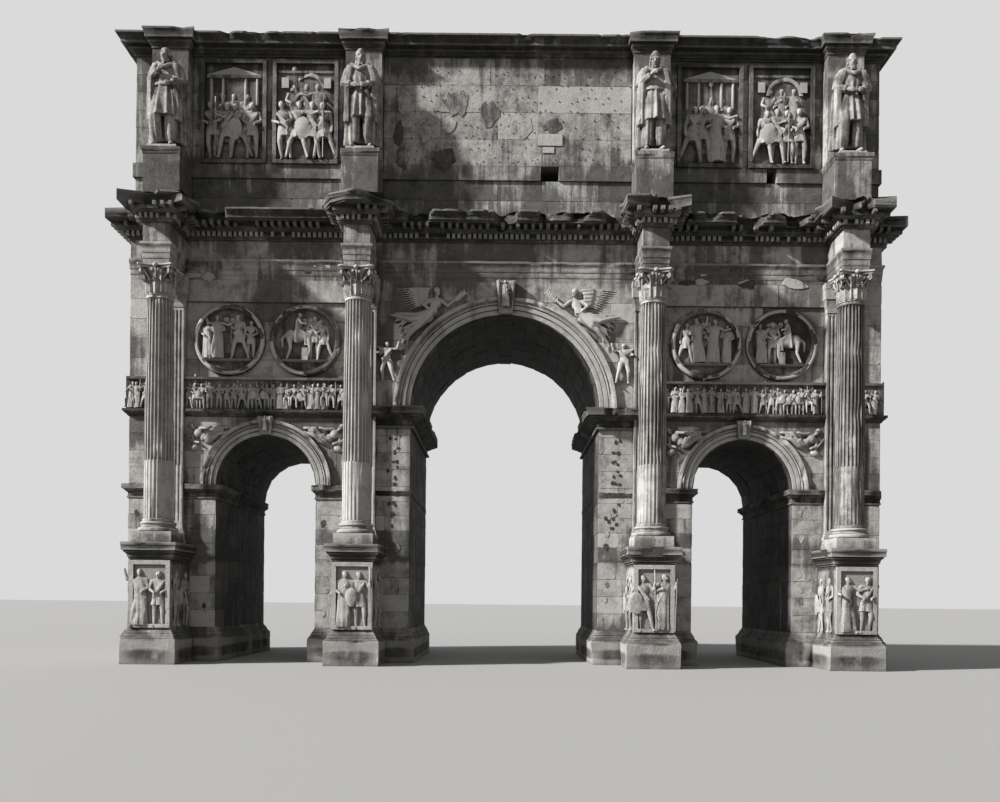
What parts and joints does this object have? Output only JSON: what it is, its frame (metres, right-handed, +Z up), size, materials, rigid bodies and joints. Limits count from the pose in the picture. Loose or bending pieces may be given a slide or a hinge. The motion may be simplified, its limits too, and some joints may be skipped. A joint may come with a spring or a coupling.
{
  "type": "triumphal arch",
  "caption": "Free-standing marble gateway with a wide and two narrow vaulted passages, columns on pedestals, carved bands and a hollow attic with statues.",
  "frame": {"origin": "on the ground, under the middle of the arch", "axes": "+X along the width to the right, -Y towards the front, +Z up"},
  "size_m": [27.34, 11.04, 21.31],
  "materials": {
    "wall_marble": "weathered",
    "attic_marble": "weathered",
    "carved_marble": "weathered",
    "fluted_marble": "weathered",
    "moulded_marble": "weathered",
    "statue_marble": "weathered",
    "weathered_cornice": "stained"
  },
  "bodies": {
    "root": {"architrave": "moulded_marble", "attic_back_wall": "attic_marble", "attic_base": "attic_marble", "attic_cornice_ends": "weathered_cornice", "attic_cornice_runs": "weathered_cornice", "attic_course_ends": "attic_marble", "attic_course_runs": "attic_marble", "attic_end_panels": "carved_marble", "attic_front_wall": "attic_marble", "attic_left_wall": "attic_marble", "attic_piers": "attic_marble", "attic_relief_panels": "carved_marble", "attic_right_wall": "attic_marble", "attic_roof": "attic_marble", "back_column_bases": "carved_marble", "back_column_capitals": "carved_marble", "back_column_shafts": "fluted_marble", "back_pedestals": "carved_marble", "back_pilasters": "fluted_marble", "back_statues": "statue_marble", "central_archivolts": "moulded_marble", "central_imposts": "moulded_marble", "central_keystones": "carved_marble", "central_vault": "wall_marble", "cornice": "weathered_cornice", "dentil_course": "moulded_marble", "frieze": "wall_marble", "front_column_bases": "carved_marble", "front_column_capitals": "carved_marble", "front_column_shafts": "fluted_marble", "front_pedestals": "carved_marble", "front_pilasters": "fluted_marble", "front_statues": "statue_marble", "inscription_panels": "attic_marble", "modillion_course": "weathered_cornice", "pier_foot_mouldings": "moulded_marble", "pier_inner_left": "wall_marble", "pier_inner_right": "wall_marble", "pier_outer_left": "wall_marble", "pier_outer_right": "wall_marble", "relief_band": "carved_marble", "roundels": "carved_marble", "side_arch_left": "wall_marble", "side_arch_right": "wall_marble", "side_archivolts": "moulded_marble", "side_imposts": "moulded_marble", "side_keystones": "carved_marble", "statue_plinths": "attic_marble", "upper_wall_left": "wall_marble", "upper_wall_right": "wall_marble"}
  },
  "joints": []
}
